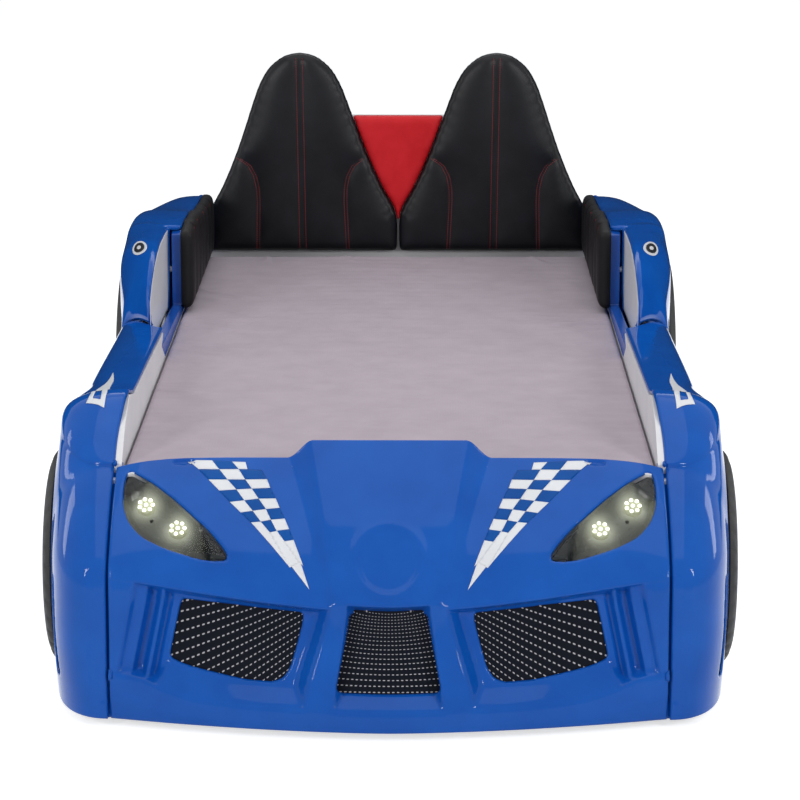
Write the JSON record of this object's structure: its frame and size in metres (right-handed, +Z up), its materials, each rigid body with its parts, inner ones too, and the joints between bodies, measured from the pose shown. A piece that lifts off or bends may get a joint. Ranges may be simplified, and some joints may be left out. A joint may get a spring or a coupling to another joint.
{
  "type": "toddler bed",
  "caption": "Racing-car toddler bed: gloss blue body shells with headlamps, grilles and wheels round a slatted base, a mattress, padded guard boards and two seat-shaped headboard pads.",
  "frame": {"origin": "on the floor, at the middle of the bed's bounding box", "axes": "+Z up, +Y from the nose to the headboard, +X to the right of someone who stands at the nose and looks at the bed"},
  "size_m": [1.2, 2.26, 0.872],
  "materials": {
    "blue_shell": "vacuum-formed ABS, high gloss",
    "blue_board": "lacquered MDF, gloss",
    "white_board": "melamine-faced board, satin white",
    "quilted_leatherette": "channel-quilted, red stitching",
    "black_leatherette": "padded, red stitching",
    "red_leatherette": "padded, smooth",
    "jersey_sheet": "fitted cotton jersey sheet over foam",
    "pine": "planed, unfinished",
    "perforated_black": "perforated pattern",
    "lamp_tub": "moulded, satin",
    "lamp_lens": "clear moulded lens",
    "light_cluster": "white light clusters",
    "tyre": "moulded tread",
    "rim": "silver lacquer",
    "hub_cap": "plain cap",
    "zinc_steel": "zinc plated",
    "white_plastic": "moulded",
    "black_plastic": "moulded",
    "red_plastic": "moulded",
    "cable_sheath": "PVC sheath"
  },
  "bodies": {
    "root": {"front_shell": "blue_shell", "left_side_shell": "blue_shell", "right_side_shell": "blue_shell", "left_rear_quarter": "blue_shell", "right_rear_quarter": "blue_shell", "left_side_board": "white_board", "right_side_board": "white_board", "foot_board": "white_board", "head_board": "white_board", "left_guard_board": "blue_board", "right_guard_board": "blue_board", "left_guard_pad": "quilted_leatherette", "right_guard_pad": "quilted_leatherette", "left_seat_pad": "black_leatherette", "right_seat_pad": "black_leatherette", "red_centre_pad": "red_leatherette", "mattress": "jersey_sheet", "slats": "pine", "left_slat_ledger": "pine", "right_slat_ledger": "pine", "centre_beam": "pine", "centre_legs": "pine", "left_grille": "perforated_black", "centre_grille": "perforated_black", "right_grille": "perforated_black", "left_corner_vent": "perforated_black", "right_corner_vent": "perforated_black", "left_lamp_housing": "lamp_tub", "right_lamp_housing": "lamp_tub", "left_lamp_lens": "lamp_lens", "right_lamp_lens": "lamp_lens", "left_led_pucks": "light_cluster", "right_led_pucks": "light_cluster", "front_left_tyre": "tyre", "front_right_tyre": "tyre", "rear_left_tyre": "tyre", "rear_right_tyre": "tyre", "front_left_rim": "rim", "front_right_rim": "rim", "rear_left_rim": "rim", "rear_right_rim": "rim", "front_left_hub_cap": "hub_cap", "front_right_hub_cap": "hub_cap", "rear_left_hub_cap": "hub_cap", "rear_right_hub_cap": "hub_cap", "wheel_spacers": "pine", "wheel_bolts": "zinc_steel", "shell_blocks": "pine", "guard_spacers": "white_plastic", "corner_brackets": "zinc_steel", "bracket_screws": "zinc_steel", "floor_glides": "black_plastic", "switch_box": "black_plastic", "lamp_cables": "cable_sheath", "cable_clips": "white_plastic"},
    "button": {"power_button": "red_plastic"}
  },
  "joints": [
    {"name": "power_button_press", "type": "slide", "parent": "root", "child": "button", "axis": [0, -1, 0], "range_m": [0, 0.0025], "stiffness_N_per_m": 300, "springref_m": -0.001}
  ]
}
